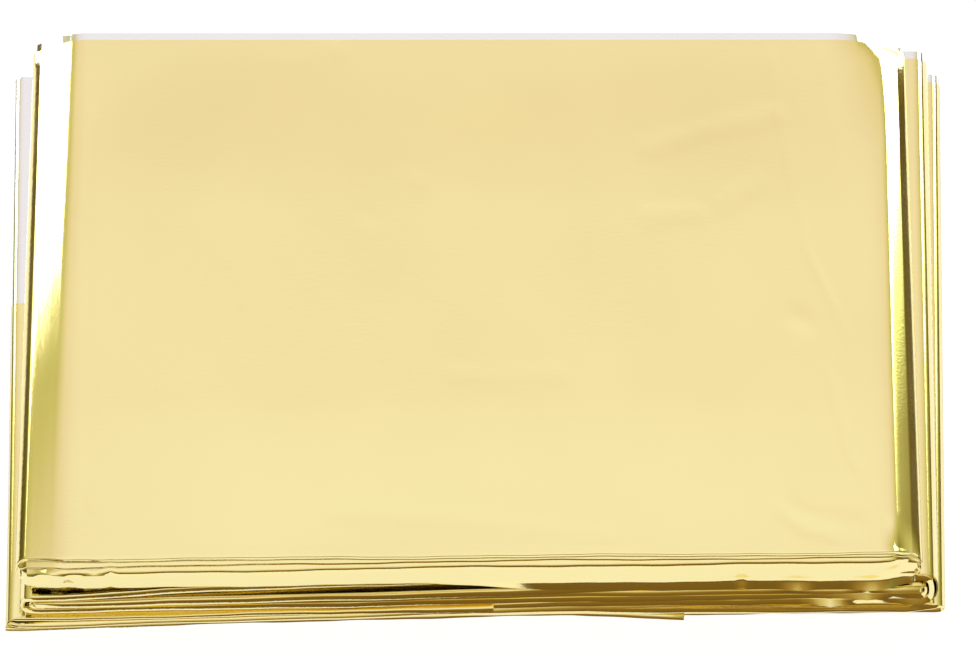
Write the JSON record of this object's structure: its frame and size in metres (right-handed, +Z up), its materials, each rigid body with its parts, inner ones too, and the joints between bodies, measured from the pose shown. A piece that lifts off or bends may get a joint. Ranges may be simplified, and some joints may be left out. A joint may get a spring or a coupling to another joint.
{
  "type": "folded emergency foil blanket",
  "caption": "Emergency foil blanket, gold on one face and silver on the other, folded into a flat pocket-size pack of shiny film.",
  "frame": {"origin": "middle of the pack's footprint, on the surface that it rests on", "axes": "+X to the right along the pack's length, +Y from the folded front edges to the back edges, +Z up through the layers"},
  "size_m": [0.1376, 0.0932, 0.0148],
  "materials": {
    "gold_film": "thin polyester film, metallised mirror-bright: warm pale gold on one face and silver on the other, with soft creases"
  },
  "bodies": {
    "root": {"blanket": "gold_film"}
  },
  "joints": []
}
